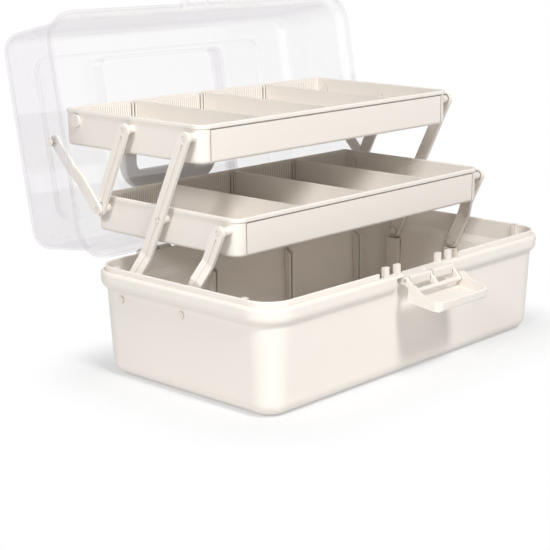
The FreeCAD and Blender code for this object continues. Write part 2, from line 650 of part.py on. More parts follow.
def lid_catch():
    """The ledge on the lid's front that the clasp's tip hooks over, with its ribs."""
    front = -LID_HALF_Y - CATCH_REACH
    root = -LID_HALF_Y + 2 * LID_WALL
    low = CATCH_TOP_Z - CATCH_THICK
    ledge = box(-CATCH_HALF, CATCH_HALF, front, root, low, CATCH_TOP_Z)
    rib = box(-CATCH_RIB_WIDTH / 2, CATCH_RIB_WIDTH / 2, front + CATCH_RIB_SETBACK, -LID_HALF_Y + LAP,
              LID_UNDERSIDE_Z + CATCH_RIB_ABOVE_SEAT, low)
    side = rib.translated(Vector(CATCH_HALF - CATCH_RIB_FROM_END, 0, 0))
    return [ledge, rib] + both_ends(side)


def make_lid():
    lid = fuse([lid_wall(), lid_top()] + handle_ears() + lid_knuckles() + lid_catch())
    cuts = []
    room_x0 = HINGE_INNER_X - KNUCKLE_GAP
    room_x1 = HINGE_OUTER_X + KNUCKLE_GAP
    for x0, x1 in ((room_x0, LID_KNUCKLE_INNER_X), (LID_KNUCKLE_OUTER_X, room_x1)):
        cuts += both_ends(rod(x0, x1, HINGE_Y, HINGE_Z, KNUCKLE_RADIUS + KNUCKLE_GAP))
    cuts += both_ends(rod(LID_KNUCKLE_INNER_X, LID_KNUCKLE_OUTER_X, HINGE_Y, HINGE_Z,
                          HINGE_PIN_RADIUS + RUNNING_CLEARANCE))
    cuts += both_ends(rod(0, RECESS_HALF_X, 0, HANDLE_PIVOT_Z, HANDLE_PIN_RADIUS))
    cuts += both_ends(rod(FOOT_LAYER_X, LID_HALF_X, LID_RIVET_Y, LID_RIVET_Z, RIVET_RADIUS))
    cuts += both_ends(rivet_cap(LID_HALF_X - lid_inset(LID_RIVET_Z), LID_RIVET_Y, LID_RIVET_Z))
    return opened(lid.cut(cuts))


def make_hinge_pin():
    return rod(HINGE_INNER_X, HINGE_OUTER_X, HINGE_Y, HINGE_Z, HINGE_PIN_RADIUS)


# ---- trays ----
def tray_pivots():
    """Distances of a tray's three pivots from its front face."""
    return [PIVOT_FROM_FRONT + PIVOT_SPACING * count for count in range(3)]


def tray_wall():
    """The tray's wall with its bottom round and rolled rim."""
    face = TRAY_RIM_PROUD
    inner = face + TRAY_WALL
    bend = (face + TRAY_BOTTOM_ROUND, TRAY_BOTTOM_ROUND)
    inner_round = TRAY_BOTTOM_ROUND - TRAY_WALL
    rim_low = TRAY_HEIGHT - TRAY_RIM_HEIGHT
    moves = [
        (bend[0], 0),
        arc_between(bend, TRAY_BOTTOM_ROUND, 270, 180),
        (face, rim_low),
        (0, rim_low + TRAY_RIM_PROUD / 2),
        (0, TRAY_HEIGHT - TRAY_RIM_ROUND),
        arc_between((TRAY_RIM_ROUND, TRAY_HEIGHT - TRAY_RIM_ROUND), TRAY_RIM_ROUND, 180, 90),
        (inner - TRAY_RIM_BEVEL, TRAY_HEIGHT),
        (inner, TRAY_HEIGHT - TRAY_RIM_BEVEL),
        (inner, TRAY_BOTTOM_ROUND),
        arc_between(bend, inner_round, 180, 270),
        (TRAY_TOE_INSET, TRAY_WALL),
    ]
    section = wall_section((TRAY_TOE_INSET, 0), moves)
    return wall_ring(section, TRAY_LENGTH / 2, TRAY_DEPTH / 2, TRAY_CORNER, TRAY_REAR_CORNER)


def tray_slots():
    """Pairs of ribs on the front and rear walls that hold the dividers upright."""
    inner = TRAY_DEPTH / 2 - TRAY_RIM_PROUD - TRAY_WALL
    ribs = []
    half_slot = DIVIDER_THICK / 2 + DIVIDER_CLEARANCE
    for place in (-1, 0, 1):
        for side in (-1, 1):
            near = place * DIVIDER_SPACING + side * half_slot
            far = near + side * SLOT_RIB_WIDTH
            rib = box(min(near, far), max(near, far), inner - SLOT_RIB_DEPTH, inner + TRAY_WALL / 2,
                      TRAY_WALL / 2, TRAY_HEIGHT - DIVIDER_DROP)
            ribs += [rib, rib.mirror(Vector(0, 0, 0), Vector(0, 1, 0))]
    return ribs


def panel_grooves():
    """Thin grooves that outline the panel on the tray's front face."""
    face = -TRAY_DEPTH / 2 + TRAY_RIM_PROUD
    back = face + PANEL_GROOVE_DEPTH
    high = TRAY_HEIGHT - TRAY_RIM_HEIGHT
    across = box(-PANEL_HALF, PANEL_HALF, face - LAP, back, high - PANEL_GROOVE, high)
    upright = box(PANEL_HALF - PANEL_GROOVE, PANEL_HALF, face - LAP, back, -LAP, high)
    return [across] + both_ends(upright)


def make_tray(boss_sizes):
    """One tray centred on the origin, on the plane z = 0; boss_sizes are each pivot's face and radius."""
    inset = TRAY_TOE_INSET - TRAY_TOE / 2
    floor = slab(TRAY_LENGTH / 2 - inset, TRAY_DEPTH / 2 - inset, TRAY_CORNER - inset,
                 TRAY_REAR_CORNER - inset, 0, TRAY_WALL)
    inner_x = TRAY_END_X - TRAY_WALL
    bosses = []
    holes = []
    for offset, (face_x, radius) in zip(tray_pivots(), boss_sizes):
        y = offset - TRAY_DEPTH / 2
        bosses += both_ends(rod(inner_x + TRAY_WALL / 2, face_x, y, PIVOT_ABOVE_TRAY, radius))
        holes += both_ends(rod(inner_x, face_x, y, PIVOT_ABOVE_TRAY, RIVET_RADIUS))
        holes += both_ends(rod(inner_x - RIVET_HEAD, inner_x, y, PIVOT_ABOVE_TRAY, RIVET_HEAD_RADIUS))
    tray = fuse([tray_wall(), floor] + bosses + tray_slots())
    return tray.cut(panel_grooves() + holes)


def make_divider():
    """One divider centred on the origin, in the same place as make_tray's floor."""
    half = TRAY_DEPTH / 2 - TRAY_RIM_PROUD - TRAY_WALL - DIVIDER_CLEARANCE
    bottom = TRAY_WALL + DIVIDER_CLEARANCE
    top = TRAY_HEIGHT - DIVIDER_DROP
    plate = box(-DIVIDER_THICK / 2, DIVIDER_THICK / 2, -half, half, bottom, top)
    return plate.makeFillet(DIVIDER_ROUND, along_x(plate))


def in_lower(shape):
    return shape.translated(Vector(0, LOWER_FRONT_Y + TRAY_DEPTH / 2, LOWER_Z))


def in_upper(shape):
    return shape.translated(Vector(0, UPPER_FRONT_Y + TRAY_DEPTH / 2, UPPER_Z))


# ---- arms ----
def strip(path, thick, half_width):
    """A bar along Y that steps between layers in X: path is a list of (distance, x)."""
    ahead = [(s, x + thick / 2) for s, x in path]
    back = [(s, x - thick / 2) for s, x in reversed(path)]
    face = outline(ahead[0], ahead[1:] + back, lambda s, x: Vector(x, s, -half_width))
    return face.extrude(Vector(0, 0, 2 * half_width))


def arm_plan(stations, end):
    """The arm's outline seen from the case's end: stations are (distance, half width)."""
    first, first_half = stations[0]
    last, last_half = stations[-1]
    tip = last + end
    tip_round = ARM_TIP_ROUND * last_half
    bow = tip_round * (1 - sqrt(0.5))
    moves = list(stations[1:])
    moves.append((tip - tip_round, last_half))
    moves.append([(tip - bow, last_half - bow), (tip, last_half - tip_round)])
    moves.append((tip, tip_round - last_half))
    moves.append([(tip - bow, bow - last_half), (tip - tip_round, -last_half)])
    moves += [(s, -half) for s, half in reversed(stations)]
    moves.append([(first - first_half, 0), (first, first_half)])
    face = outline((first, first_half), moves, lambda s, w: Vector(0, s, w))
    return face.extrude(Vector(HALF_LENGTH, 0, 0))


def make_bar(path, thick, stations, length, holes, grooved):
    """A side arm lying along +Y from its lower pivot at the origin, on the case's +X end."""
    reach = ARM_FOOT_HALF_WIDTH + LAP
    ends = [(-reach, path[0][1])] + path[1:-1] + [(length + reach, path[-1][1])]
    bar = strip(ends, thick, reach).common(arm_plan(stations, ARM_END))
    if grooved:
        outer = [(s, x + thick / 2) for s, x in ends]
        channel = strip(outer, 2 * GROOVE_DEPTH, reach)
        start = ARM_END
        stop = length - ARM_END
        mid = path[2][0] if len(path) > 3 else start + LAP
        corners = [(mid, GROOVE_HALF_TOP), (stop, GROOVE_HALF_TOP), (stop, -GROOVE_HALF_TOP),
                   (mid, -GROOVE_HALF_TOP), (start, -GROOVE_HALF_FOOT)]
        groove = outline((start, GROOVE_HALF_FOOT), corners, lambda s, w: Vector(0, s, w + GROOVE_AHEAD))
        bar = bar.cut(channel.common(groove.extrude(Vector(HALF_LENGTH, 0, 0))))
    drills = [rod(0, HALF_LENGTH, s, 0, RIVET_RADIUS + RUNNING_CLEARANCE) for s in holes]
    return bar.cut(drills)


def placed_arm(bar, y, z, angle):
    """Swing a bar up from +Y to its angle and carry it to its lower pivot."""
    lifted = turned(bar, 0, 0, angle)
    return lifted.translated(Vector(0, y, z))


def make_short_arm():
    """Tub to the lower tray's front pivot."""
    jog_low, jog_high = SHORT_ARM_JOG
    path = [(0, FOOT_LAYER_X), (jog_low, FOOT_LAYER_X), (jog_high, SHORT_ARM_LAYER_X),
            (ARM_THROW, SHORT_ARM_LAYER_X)]
    stations = [(0, ARM_FOOT_HALF_WIDTH), (jog_low, ARM_FOOT_HALF_WIDTH), (jog_high, ARM_HALF_WIDTH),
                (ARM_THROW, ARM_HALF_WIDTH)]
    bar = make_bar(path, ARM_THICK, stations, ARM_THROW, (0, ARM_THROW), True)
    return placed_arm(bar, TUB_PIVOT_Y, TUB_PIVOT_Z, 180 - ARM_OPEN_ANGLE)


def make_long_arm():
    """Tub to the lower tray's middle pivot and on to the upper tray's front pivot."""
    length = 2 * ARM_THROW
    jog_low, jog_high = LONG_ARM_JOG
    path = [(0, FOOT_LAYER_X), (jog_low, FOOT_LAYER_X), (jog_high, ARM_LAYER_X), (length, ARM_LAYER_X)]
    stations = [(0, ARM_FOOT_HALF_WIDTH), (jog_low, ARM_FOOT_HALF_WIDTH), (jog_high, ARM_HALF_WIDTH),
                (length, ARM_HALF_WIDTH)]
    bar = make_bar(path, ARM_THICK, stations, length, (0, ARM_THROW, length), True)
    return placed_arm(bar, TUB_PIVOT_Y + PIVOT_SPACING, TUB_PIVOT_Z, 180 - ARM_OPEN_ANGLE)


def make_upper_arm():
    """The lower tray's rear pivot to the upper tray's middle pivot."""
    path = [(0, ARM_LAYER_X), (ARM_THROW, ARM_LAYER_X)]
    stations = [(0, ARM_HALF_WIDTH), (ARM_THROW, ARM_HALF_WIDTH)]
    bar = make_bar(path, ARM_THICK, stations, ARM_THROW, (0, ARM_THROW), True)
    return placed_arm(bar, LOWER_FRONT_Y + tray_pivots()[2], TUB_PIVOT_Z + ARM_STEP_Z, 180 - ARM_OPEN_ANGLE)


def lid_rivet_open():
    """The lid rivet's y and z with the lid open."""
    ahead = LID_RIVET_Y - HINGE_Y
    above = LID_RIVET_Z - HINGE_Z
    angle = radians(LID_OPEN_ANGLE)
    y = HINGE_Y + ahead * cos(angle) + above * sin(angle)
    z = HINGE_Z - ahead * sin(angle) + above * cos(angle)
    return y, z


def make_lid_link():
    """The lower tray's rear pivot to the lid's rivet."""
    y0 = LOWER_FRONT_Y + tray_pivots()[2]
    z0 = TUB_PIVOT_Z + ARM_STEP_Z
    y1, z1 = lid_rivet_open()
    length = hypot(y1 - y0, z1 - z0)
    jog_low, jog_high = LINK_JOG
    path = [(0, LINK_LAYER_X), (jog_low, LINK_LAYER_X), (jog_high, LINK_TOP_LAYER_X),
            (length, LINK_TOP_LAYER_X)]
    stations = [(0, LINK_HALF_WIDTH), (length, LINK_HALF_WIDTH)]
    bar = make_bar(path, LINK_THICK, stations, length, (0, length), False)
    return placed_arm(bar, y0, z0, degrees(atan2(z1 - z0, y1 - y0)))


# ---- rivets ----
def rivet_cap(wall_x, y, z):
    """A rivet's outer cap, seated a little into the drafted wall so that it lies flat."""
    return rod(wall_x - RIVET_CAP_SEAT, wall_x + RIVET_HEAD, y, z, RIVET_CAP_RADIUS)


def rounded_cap(wall_x, y, z):
    """The cap with its outer edge rounded."""
    cap = rivet_cap(wall_x, y, z)
    edge = [one for one in cap.Edges if abs(one.BoundBox.XMin - wall_x - RIVET_HEAD) < NEAR]
    return cap.makeFillet(RIVET_HEAD / 2, edge)


def rivet(y, z, end_x, inner_x):
    """A rivet along X with its head inside the tray's wall."""
    head = rod(inner_x - RIVET_HEAD, inner_x, y, z, RIVET_HEAD_RADIUS)
    return head.fuse(rod(inner_x, end_x, y, z, RIVET_RADIUS)).removeSplitter()


def tray_rivets(reach):
    """A tray's six rivets; reach is how far out the front, middle and rear pairs go."""
    inner = TRAY_END_X - TRAY_WALL
    rivets = []
    for offset, end_x in zip(tray_pivots(), reach):
        rivets += both_ends(rivet(offset - TRAY_DEPTH / 2, PIVOT_ABOVE_TRAY, end_x, inner))
    return Part.Compound(rivets)


def tub_rivets():
    """Four rivets through the tub's end walls, domed outside and headed inside the arms."""
    rivets = []
    arm_inner = FOOT_LAYER_X - ARM_THICK / 2 - SIDE_GAP
    wall_outer = HALF_LENGTH - wall_inset(TUB_PIVOT_Z)
    for y in (TUB_PIVOT_Y, TUB_PIVOT_Y + PIVOT_SPACING):
        head = rod(arm_inner - RIVET_HEAD, arm_inner, y, TUB_PIVOT_Z, RIVET_HEAD_RADIUS)
        shank = rod(arm_inner, wall_outer, y, TUB_PIVOT_Z, RIVET_RADIUS)
        rivets += both_ends(fuse([head, shank, rounded_cap(wall_outer, y, TUB_PIVOT_Z)]))
    return Part.Compound(rivets)


def lid_rivets():
    """One rivet through each end wall of the lid, where the lid links hang."""
    outer = LID_INNER_X + LID_WALL
    shank = rod(LID_INNER_X - PIN_RECESS, outer, LID_RIVET_Y, LID_RIVET_Z, RIVET_RADIUS)
    cap = rounded_cap(outer, LID_RIVET_Y, LID_RIVET_Z)
    return Part.Compound([opened(one) for one in both_ends(fuse([shank, cap]))])


# ---- clasp ----
def clasp_rod():
    """The lower rod's y and z with the link hanging out."""
    angle = radians(CLASP_LINK_ANGLE)
    return (CLASP_PIVOT_Y + CLASP_LINK_LENGTH * cos(angle), CLASP_PIVOT_Z + CLASP_LINK_LENGTH * sin(angle))


def make_clasp_link():
    """Three small arms on the upper pin, joined by the rod that the lever turns on."""
    rod_y, rod_z = clasp_rod()
    centre_half = BLOCK_SLOT_HALF - LINK_ARM_GAP
    side_inner = BLOCK_HALF + LINK_ARM_GAP
    side_outer = LINK_OUTER_HALF
    shapes = []
    for x0, x1 in ((-side_outer, -side_inner), (-centre_half, centre_half), (side_inner, side_outer)):
        bar = box(x0, x1, 0, CLASP_LINK_LENGTH, -CLASP_ROD_RADIUS, CLASP_ROD_RADIUS)
        bar = turned(bar, 0, 0, CLASP_LINK_ANGLE).translated(Vector(0, CLASP_PIVOT_Y, CLASP_PIVOT_Z))
        shapes += [bar, rod(x0, x1, CLASP_PIVOT_Y, CLASP_PIVOT_Z, CLASP_ARM_RADIUS)]
    shapes.append(rod(-side_outer, side_outer, rod_y, rod_z, CLASP_ROD_RADIUS))
    shapes.append(rod(-LEVER_HALF, LEVER_HALF, rod_y, rod_z, CLASP_STUB_RADIUS))
    hole = rod(-LEVER_HALF, LEVER_HALF, CLASP_PIVOT_Y, CLASP_PIVOT_Z, CLASP_PIN_RADIUS + RUNNING_CLEARANCE)
    return fuse(shapes).cut(hole)


def make_clasp_pin():
    return rod(-LINK_OUTER_HALF, LINK_OUTER_HALF, CLASP_PIVOT_Y, CLASP_PIVOT_Z, CLASP_PIN_RADIUS)


def make_clasp_lever():
    """A dished lever: a plate, two tapering side walls with ears, and a deep tip wall."""
    rod_y, rod_z = clasp_rod()
    tip = -LEVER_REACH
    base = -LEVER_DEPTH
    brim = -LEVER_TIP_DROP
    ear_y, ear_drop = LEVER_EAR_FRONT
    heel_start = (LEVER_HEEL - LEVER_HEEL_ROUND, base)
    moves = [
        (tip + LEVER_TIP_ROUND, base),
        arc_between((tip + LEVER_TIP_ROUND, base + LEVER_TIP_ROUND), LEVER_TIP_ROUND, 270, 180),
        (tip, brim - LEVER_LIP_ROUND),
        arc_between((tip + LEVER_LIP_ROUND, brim - LEVER_LIP_ROUND), LEVER_LIP_ROUND, 180, 90),
        (tip + LEVER_TIP_WALL, brim),
        list(LEVER_SIDE_CURVE) + [(ear_y, LEVER_EAR - ear_drop)],
        [(LEVER_EAR_TOP, LEVER_EAR), (LEVER_HEEL, LEVER_EAR - LEVER_EAR_BACK_DROP)],
        (LEVER_HEEL, base + LEVER_HEEL_ROUND),
        arc_between((heel_start[0], base + LEVER_HEEL_ROUND), LEVER_HEEL_ROUND, 0, -90),
    ]
    body = side_section(heel_start, moves, -LEVER_HALF).extrude(Vector(2 * LEVER_HALF, 0, 0))
    half_length = LEVER_REACH + LEVER_HEEL + LEVER_CORNER
    above = LEVER_EAR + LAP
    plan = slab(LEVER_HALF, half_length, LEVER_CORNER, LEVER_CORNER, base - LAP, above)
    body = body.common(plan.translated(Vector(0, half_length + tip, 0)))
    inner_corner = LEVER_CORNER - LEVER_WALL
    hollow = slab(LEVER_INNER_HALF, half_length, inner_corner, inner_corner, base + LEVER_WALL, above)
    hollow = hollow.translated(Vector(0, half_length + tip + LEVER_TIP_WALL, 0))
    lever = body.cut([hollow, rod(-LEVER_HALF, LEVER_HALF, 0, 0, CLASP_STUB_RADIUS + RUNNING_CLEARANCE)])
    lever = turned(lever, 0, 0, LEVER_DROOP)
    return lever.translated(Vector(0, rod_y, rod_z))


# ---- handle ----
def make_handle():
    """A flat U-shaped bail, made upright on the closed lid and then swung to its rest."""
    half = HANDLE_HALF_WIDTH
    inner = half - HANDLE_LEG
    low = HANDLE_PIVOT_Z
    top = HANDLE_PIVOT_Z + HANDLE_REACH
    grip_low = top - HANDLE_GRIP
    outer_bow = HANDLE_OUTER_ROUND * (1 - sqrt(0.5))
    inner_bow = HANDLE_INNER_ROUND * (1 - sqrt(0.5))
    moves = [
        (-half, top - HANDLE_OUTER_ROUND),
        [(-half + outer_bow, top - outer_bow), (-half + HANDLE_OUTER_ROUND, top)],
        (half - HANDLE_OUTER_ROUND, top),
        [(half - outer_bow, top - outer_bow), (half, top - HANDLE_OUTER_ROUND)],
        (half, low), (inner, low), (inner, grip_low - HANDLE_INNER_ROUND),
        [(inner - inner_bow, grip_low - inner_bow), (inner - HANDLE_INNER_ROUND, grip_low)],
        (-inner + HANDLE_INNER_ROUND, grip_low),
        [(-inner + inner_bow, grip_low - inner_bow), (-inner, grip_low - HANDLE_INNER_ROUND)],
        (-inner, low),
    ]
    face = outline((-half, low), moves, lambda x, z: Vector(x, -HANDLE_THICK / 2, z))
    bail = face.extrude(Vector(0, HANDLE_THICK, 0))
    rims = [edge for edge in bail.Edges if edge.BoundBox.YLength < NEAR and edge.BoundBox.ZMax > low + NEAR]
    bail = bail.makeFillet(HANDLE_EDGE_ROUND, rims)
    ends = both_ends(rod(inner, half, 0, HANDLE_PIVOT_Z, HANDLE_THICK / 2))
    bail = fuse([bail] + ends)
    bail = bail.cut(both_ends(rod(inner, half, 0, HANDLE_PIVOT_Z, HANDLE_PIN_RADIUS + RUNNING_CLEARANCE)))
    return opened(turned(bail, 0, HANDLE_PIVOT_Z, HANDLE_REST_ANGLE - 90))


def make_handle_pins():
    inner = HANDLE_HALF_WIDTH - HANDLE_LEG - EAR_GAP - EAR_THICK
    outer = HANDLE_HALF_WIDTH + EAR_GAP + EAR_THICK
    pin = rod(inner, outer, 0, HANDLE_PIVOT_Z, HANDLE_PIN_RADIUS)
    return Part.Compound([opened(one) for one in both_ends(pin)])


# ---- the parts ----
def all_parts():
    arm_boss = (BOSS_FACE_X, TRAY_BOSS_RADIUS)
    short_arm_boss = (BOSS_FACE_X + SHORT_ARM_OUT, TRAY_BOSS_RADIUS)
    spare_boss = (SPARE_FACE_X, SPARE_BOSS_RADIUS)
    divider = make_divider()
    parts = {
        "tub": make_tub(),
        "tub_rivets": tub_rivets(),
        "lid": make_lid(),
        "lid_rivets": lid_rivets(),
        "lower_tray": in_lower(make_tray((short_arm_boss, arm_boss, arm_boss))),
        "upper_tray": in_upper(make_tray((arm_boss, arm_boss, spare_boss))),
        "lower_tray_rivets": in_lower(tray_rivets((SHORT_ARM_PIN_X, ARM_PIN_X, LINK_PIN_X))),
        "upper_tray_rivets": in_upper(tray_rivets((ARM_PIN_X, ARM_PIN_X, SPARE_FACE_X))),
        "clasp_lever": make_clasp_lever(),
        "clasp_link": make_clasp_link(),
        "clasp_hinge_pin": make_clasp_pin(),
        "handle": make_handle(),
        "handle_pins": make_handle_pins(),
    }
    for place, name in ((-1, "left"), (0, "centre"), (1, "right")):
        one = divider.translated(Vector(place * DIVIDER_SPACING, 0, 0))
        parts["lower_divider_" + name] = in_lower(one)
        parts["upper_divider_" + name] = in_upper(one)
    pairs = {
        "hinge_pin": make_hinge_pin(),
        "short_arm": make_short_arm(),
        "long_arm": make_long_arm(),
        "upper_arm": make_upper_arm(),
        "lid_link": make_lid_link(),
    }
    for name, shape in pairs.items():
        parts[name + "_right"] = shape
        parts[name + "_left"] = mirrored(shape)
    return parts


def main():
    os.makedirs("parts", exist_ok=True)
    for name, shape in all_parts().items():
        shape.exportStep("parts/" + name + ".step")
        print(name, "solids", len(shape.Solids), "valid", shape.isValid(), "volume", shape.Volume)


main()
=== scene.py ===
import json
import math

import bpy
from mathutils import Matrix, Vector


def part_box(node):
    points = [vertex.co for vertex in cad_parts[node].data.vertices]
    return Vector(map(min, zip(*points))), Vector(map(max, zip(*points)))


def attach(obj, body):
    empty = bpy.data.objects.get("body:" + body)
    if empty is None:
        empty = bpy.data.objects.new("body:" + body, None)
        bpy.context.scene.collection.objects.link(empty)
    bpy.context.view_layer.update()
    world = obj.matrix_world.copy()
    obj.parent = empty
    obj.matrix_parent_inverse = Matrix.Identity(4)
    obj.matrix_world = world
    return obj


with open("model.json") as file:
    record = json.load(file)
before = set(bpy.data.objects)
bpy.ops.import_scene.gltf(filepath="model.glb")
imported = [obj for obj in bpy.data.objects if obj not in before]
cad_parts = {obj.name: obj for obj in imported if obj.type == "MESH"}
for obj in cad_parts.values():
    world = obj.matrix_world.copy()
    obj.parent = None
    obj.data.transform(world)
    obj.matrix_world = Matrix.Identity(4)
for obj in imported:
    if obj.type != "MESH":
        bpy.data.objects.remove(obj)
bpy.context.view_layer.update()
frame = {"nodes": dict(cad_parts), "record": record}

nodes = frame["nodes"]
scene = bpy.context.scene
scene.view_settings.view_transform = "Standard"

MM = 0.001
WHITE = (1, 1, 1, 1)

# ---- camera: lengths in metres, lens and sensor in millimetres ----
AZIMUTH = math.radians(-48.7)
ELEVATION = math.radians(14.02)
DISTANCE = 1.1174
TARGET = Vector((0, 0, 0.06))
SENSOR_WIDTH = 36.0
FOCAL_LENGTH = 93.44
FRAME_SHIFT = (-0.0996, -0.001)

camera = bpy.data.cameras.new("camera")
camera.sensor_width = SENSOR_WIDTH
camera.lens = FOCAL_LENGTH
camera.shift_x, camera.shift_y = FRAME_SHIFT
camera_object = bpy.data.objects.new("camera", camera)
scene.collection.objects.link(camera_object)
flat = math.cos(ELEVATION)
outward = Vector((flat * math.sin(AZIMUTH), -flat * math.cos(AZIMUTH), math.sin(ELEVATION)))
camera_object.location = TARGET + outward * DISTANCE
camera_object.rotation_euler = (-outward).to_track_quat("-Z", "Y").to_euler()
scene.camera = camera_object


# ---- node helpers ----
def add_node(tree, kind, inputs, **settings):
    """A new node with its settings, and each input linked to a socket or set to a value."""
    node = tree.nodes.new(kind)
    for key, value in settings.items():
        setattr(node, key, value)
    for key, value in inputs.items():
        feed(tree, node.inputs[key], value)
    return node


def feed(tree, socket, value):
    """An input linked to another node's socket, or set to a plain value."""
    if isinstance(value, bpy.types.NodeSocket):
        tree.links.new(value, socket)
    else:
        socket.default_value = value


def new_material(name):
    """A node material, its tree and its shader."""
    material = bpy.data.materials.new(name)
    material.use_nodes = True
    tree = material.node_tree
    return material, tree, tree.nodes["Principled BSDF"]


def own_place(tree):
    """The object's own coordinates."""
    return tree.nodes.new("ShaderNodeTexCoord").outputs["Object"]


def noise(tree, place, scale, detail):
    inputs = {"Scale": scale, "Detail": detail, "Vector": place}
    return add_node(tree, "ShaderNodeTexNoise", inputs).outputs["Fac"]


def blended(tree, factor, a, b):
    """The colour a where the factor is 0 and b where it is 1."""
    inputs = {"A": a, "B": b, "Factor": factor}
    return add_node(tree, "ShaderNodeMix", inputs, data_type="RGBA").outputs["Result"]


def ranged(tree, value, low, high):
    """A value from 0 to 1, spread from low to high."""
    inputs = {"To Min": low, "To Max": high, "Value": value}
    return add_node(tree, "ShaderNodeMapRange", inputs).outputs["Result"]


def bumped(tree, height, strength, distance):
    inputs = {"Strength": strength, "Distance": distance, "Height": height}
    return add_node(tree, "ShaderNodeBump", inputs).outputs["Normal"]


def mixed(tree, factor, first, second):
    """The first shader where the factor is 0 and the second where it is 1."""
    return add_node(tree, "ShaderNodeMixShader", {"Fac": factor, 1: first, 2: second}).outputs[0]


def math_node(tree, operation, *values):
    """A math node over sockets or numbers."""
    inputs = dict(enumerate(values))
    return add_node(tree, "ShaderNodeMath", inputs, operation=operation).outputs[0]


def seen_ray(tree):
    """1 for camera, glossy and transmission rays."""
    path = tree.nodes.new("ShaderNodeLightPath").outputs
    glossy = math_node(tree, "MAXIMUM", path["Is Camera Ray"], path["Is Glossy Ray"])
    return math_node(tree, "MAXIMUM", glossy, path["Is Transmission Ray"])


# ---- materials: lengths in metres ----
CREAM_COLOR = (0.86, 0.806, 0.745)
# The handle is the same cream plastic; its paler colour here is painted light that lifts it out of the
# trays' shade.
HANDLE_PAINTED_LIGHT_COLOR = (0.93, 0.885, 0.845)
CREAM_ROUGHNESS = (0.37, 0.47)
MOTTLE_DARKEST = 0.975
MOTTLE_SCALE = 14.0
MOTTLE_DETAIL = 3.0
GRAIN_SCALE = 900.0
GRAIN_DETAIL = 2.0
GRAIN_STRENGTH = 0.15
GRAIN_DEPTH = 0.0001

# Painted shade: the cream darkens towards this colour where an ambient-occlusion test finds a nook, crease
# or narrow gap between parts.
PAINTED_SHADE_COLOR = (0.30, 0.26, 0.23, 1)
PAINTED_SHADE_SAMPLES = 8
PAINTED_SHADE_REACH = 0.0022
PAINTED_SHADE_CLOSED = 0.15
PAINTED_SHADE_OPEN = 0.62
# Wider painted shade for the rivets: a dark ring of painted shade round each cap.
RIVET_PAINTED_SHADE_REACH = 0.006
RIVET_PAINTED_SHADE_OPEN = 1.05
# Stronger painted shade for the flutes on the trays' rear walls.
FLUTE_PAINTED_SHADE_OPEN = 1.0


def cream(name, color, shade_reach=PAINTED_SHADE_REACH, shade_open_at=PAINTED_SHADE_OPEN):
    """Moulded cream plastic: slightly mottled, finely grained, and with painted shade darkening its narrow
    nooks.
    """
    material, tree, shader = new_material(name)
    place = own_place(tree)
    mottle = noise(tree, place, MOTTLE_SCALE, MOTTLE_DETAIL)
    darker = (*[share * MOTTLE_DARKEST for share in color], 1)
    tone = blended(tree, mottle, darker, (*color, 1))
    # Painted shade: the less open the surface is within the reach, the nearer its colour comes to the
    # shade colour.
    shade_ao = add_node(tree, "ShaderNodeAmbientOcclusion", {"Distance": shade_reach}, samples=PAINTED_SHADE_SAMPLES)
    inputs = {"From Min": PAINTED_SHADE_CLOSED, "From Max": shade_open_at, "Value": shade_ao.outputs["AO"]}
    unshaded_share = add_node(tree, "ShaderNodeMapRange", inputs).outputs["Result"]
    feed(tree, shader.inputs["Base Color"], blended(tree, unshaded_share, PAINTED_SHADE_COLOR, tone))
    grain = noise(tree, place, GRAIN_SCALE, GRAIN_DETAIL)
    feed(tree, shader.inputs["Normal"], bumped(tree, grain, GRAIN_STRENGTH, GRAIN_DEPTH))
    feed(tree, shader.inputs["Roughness"], ranged(tree, mottle, *CREAM_ROUGHNESS))
    return material


CLEAR_FACE_ON = (0.998, 0.997, 0.998, 1)
CLEAR_TURNED = (0.92, 0.905, 0.92, 1)
CLEAR_SURFACE = (0.93, 0.92, 0.94, 1)
CLEAR_SHADOW = (0.95, 0.95, 0.955, 1)
CLEAR_ROUGHNESS = 0.12
CLEAR_IOR = 1.49
RIPPLE_SCALE = 9.0
RIPPLE_DETAIL = 1.0
RIPPLE_STRENGTH = 0.5
RIPPLE_DEPTH = 0.003
TURN_BLEND = 0.4
SHINE_ROUGHNESS = 0.05
# Each share of haze or shine is facing ** power * gain + least.
HAZE_POWER, HAZE_GAIN, HAZE_LEAST = 1.5, 0.18, 0.035
SHINE_POWER, SHINE_GAIN, SHINE_LEAST = 3.0, 0.32, 0.07


